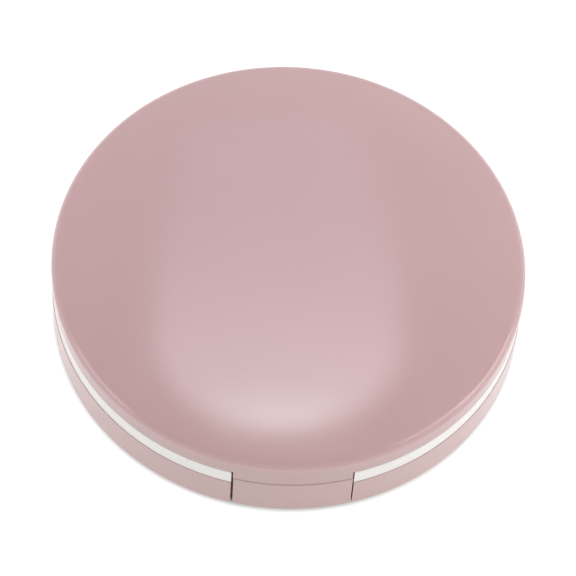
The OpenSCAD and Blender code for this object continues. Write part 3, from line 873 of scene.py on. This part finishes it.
# The floor, in metres. Its glow starts and is full at these shares of the case's radius; inside them the floor is
# left unlit, a painted shadow under the object.
FLOOR_R = 6.0
FLOOR_GLOW = 0.8
GLOW_START, GLOW_FULL = 0.97, 1.01

# The world's strength at the horizon and overhead, and what is added behind the object.
WORLD_HORIZON = 0.66
WORLD_TOP = 0.35
WORLD_REAR = 0.36
WORLD_COLOUR = (1.0, 0.995, 0.965, 1)

# The softbox. Its angles are degrees from straight up, positive towards the front, seen from the origin.
PANEL_HEIGHT = 3.0
PANEL_FRONT = 9.3
PANEL_REAR = -62.0
PANEL_SIDE = 24.5
PANEL_ROUND = -12.0
PANEL_SOFT = 0.92
PANEL_WARM = (0.91, 1.0, 0.975)
PANEL_COOL = (0.97, 1.0, 1.03)
PANEL_TOP = 11.8
# Brightness by angle. The first two are the panel's front and rear edge.
PANEL_LEVELS = ((9.3, 11.8), (-62, 1.2), (6.9, 10.3), (3.5, 5.4), (0, 4.15), (-5, 3.6), (-10, 3.2), (-18, 2.6),
                (-28, 1.95), (-40, 1.45))

# Name, place in metres and power of each fill light. All of them face the object.
SIDE_LIGHTS = (("fill_front", (2.2, -1.3, 1.0), 15), ("fill_right", (2.7, -0.3, 0.4), 17),
               ("fill_left", (-2.7, -0.6, 0.4), 17))
FILL_SIZE = (1.6, 1.2)
FILL_COLOUR = (1.0, 0.99, 0.96)


def make_camera():
    data = bpy.data.cameras.new("camera")
    data.lens = CAMERA_LENS
    data.sensor_width = 36
    data.clip_start, data.clip_end = 0.01, 30
    forward = Vector(CAMERA_FORWARD).normalized()
    right = forward.cross(Vector(CAMERA_UP)).normalized()
    up = right.cross(forward)
    camera = bpy.data.objects.new("camera", data)
    turn = Matrix((right, up, -forward)).transposed()
    camera.matrix_world = Matrix.Translation(CAMERA_AT) @ turn.to_4x4()
    bpy.context.scene.collection.objects.link(camera)
    bpy.context.scene.camera = camera


def make_floor():
    """A pale floor, which glows everywhere but under the object, where the unlit patch is a painted shadow."""
    bm = bmesh.new()
    bmesh.ops.create_circle(bm, cap_ends=True, segments=128, radius=FLOOR_R)
    floor = link("floor", bm)
    n = Nodes("floor_paper")
    n.set(Base_Color=n.tint(n.noise(3, 2), (0.385, 0.385, 0.385), (0.4, 0.4, 0.4)), Roughness=0.9)
    away = n.add("ShaderNodeVectorMath", operation="LENGTH")
    n.wire(n.coords, away.inputs[0])
    n.bsdf.inputs["Emission Color"].default_value = (1, 1, 1, 1)
    # Painted shadow: no glow inside GLOW_START of the case's radius, so the floor goes dark under and just round the
    # object.
    n.set(Emission_Strength=n.span(away.outputs["Value"], 0, FLOOR_GLOW, CASE_R * MM * GLOW_START,
                                   CASE_R * MM * GLOW_FULL))
    floor.data.materials.append(n.mat)


def make_world():
    """Soft light from all round, brighter at the horizon and behind the object."""
    world = bpy.data.worlds.new("studio")
    world.use_nodes = True
    tree = world.node_tree
    back = tree.nodes["Background"]
    coords = tree.nodes.new("ShaderNodeTexCoord")
    split = tree.nodes.new("ShaderNodeSeparateXYZ")
    tree.links.new(coords.outputs["Generated"], split.inputs["Vector"])
    rise = range_node(tree, split.outputs["Z"], WORLD_HORIZON, WORLD_TOP, 0.1, 0.5)
    behind = range_node(tree, split.outputs["Y"], 0, WORLD_REAR, 0.1, 0.6, "SMOOTHSTEP")
    tree.links.new(math_node(tree, "ADD", rise, behind), back.inputs["Strength"])
    back.inputs["Color"].default_value = WORLD_COLOUR
    bpy.context.scene.world = world


def panel_y(angle):
    """Where a direction, in degrees from straight up towards the front, meets the panel's plane."""
    return -PANEL_HEIGHT * math.tan(math.radians(angle))


def make_panel():
    """A large softbox overhead, brightest at its rounded front edge and fading to the rear and sides."""
    front, rear = panel_y(PANEL_FRONT), panel_y(PANEL_REAR)
    half = PANEL_HEIGHT * math.tan(math.radians(PANEL_SIDE))
    bm = bmesh.new()
    bm.faces.new([bm.verts.new(p) for p in ((-half, front, 0), (half, front, 0), (half, rear, 0), (-half, rear, 0))])
    panel = link("softbox", bm)
    panel.location = (0, 0, PANEL_HEIGHT)
    mat = bpy.data.materials.new("softbox_light")
    mat.use_nodes = True
    tree = mat.node_tree
    tree.nodes.clear()
    out = tree.nodes.new("ShaderNodeOutputMaterial")
    emit = tree.nodes.new("ShaderNodeEmission")
    coords = tree.nodes.new("ShaderNodeTexCoord")
    split = tree.nodes.new("ShaderNodeSeparateXYZ")
    tree.links.new(coords.outputs["Object"], split.inputs["Vector"])
    sums = partial(math_node, tree)
    # Distance from the middle line, as a share of the half width, rounding the two front corners.
    across = sums("DIVIDE", split.outputs["X"], half)
    middle = panel_y(PANEL_ROUND)
    ahead = sums("MAXIMUM", sums("DIVIDE", sums("SUBTRACT", middle, split.outputs["Y"]), middle - front), 0.0)
    reach = sums("SQRT", sums("ADD", sums("MULTIPLY", across, across), sums("MULTIPLY", ahead, ahead)))
    edge = range_node(tree, reach, 0, 1, 1.0, PANEL_SOFT, "SMOOTHSTEP")
    ramp = tree.nodes.new("ShaderNodeValToRGB")
    tree.links.new(sums("DIVIDE", sums("SUBTRACT", split.outputs["Y"], front), rear - front), ramp.inputs["Fac"])
    stops = ramp.color_ramp.elements
    for index, (angle, level) in enumerate(PANEL_LEVELS):
        spot = (panel_y(angle) - front) / (rear - front)
        stop = stops[index] if index < 2 else stops.new(spot)
        stop.position = spot
        stop.color = (*scaled(PANEL_WARM if angle > 2 else PANEL_COOL, level / PANEL_TOP), 1)
    tree.links.new(ramp.outputs["Color"], emit.inputs["Color"])
    tree.links.new(sums("MULTIPLY", edge, PANEL_TOP), emit.inputs["Strength"])
    tree.links.new(emit.outputs["Emission"], out.inputs["Surface"])
    panel.data.materials.append(mat)


def make_side_lights():
    for name, place, energy in SIDE_LIGHTS:
        data = bpy.data.lights.new(name, "AREA")
        data.shape = "RECTANGLE"
        data.size, data.size_y = FILL_SIZE
        data.energy = energy
        data.color = FILL_COLOUR
        light = bpy.data.objects.new(name, data)
        light.location = place
        light.rotation_mode = "QUATERNION"
        light.rotation_quaternion = (-Vector(place)).to_track_quat("-Z", "Y")
        bpy.context.scene.collection.objects.link(light)


def make_studio():
    bpy.context.scene.view_settings.view_transform = "Standard"
    make_camera()
    make_floor()
    make_world()
    make_panel()
    make_side_lights()


make_studio()
make_lid()
make_base()
make_button()
make_tray()
make_liner()
make_cradle()
make_springs()
dress_nodes()
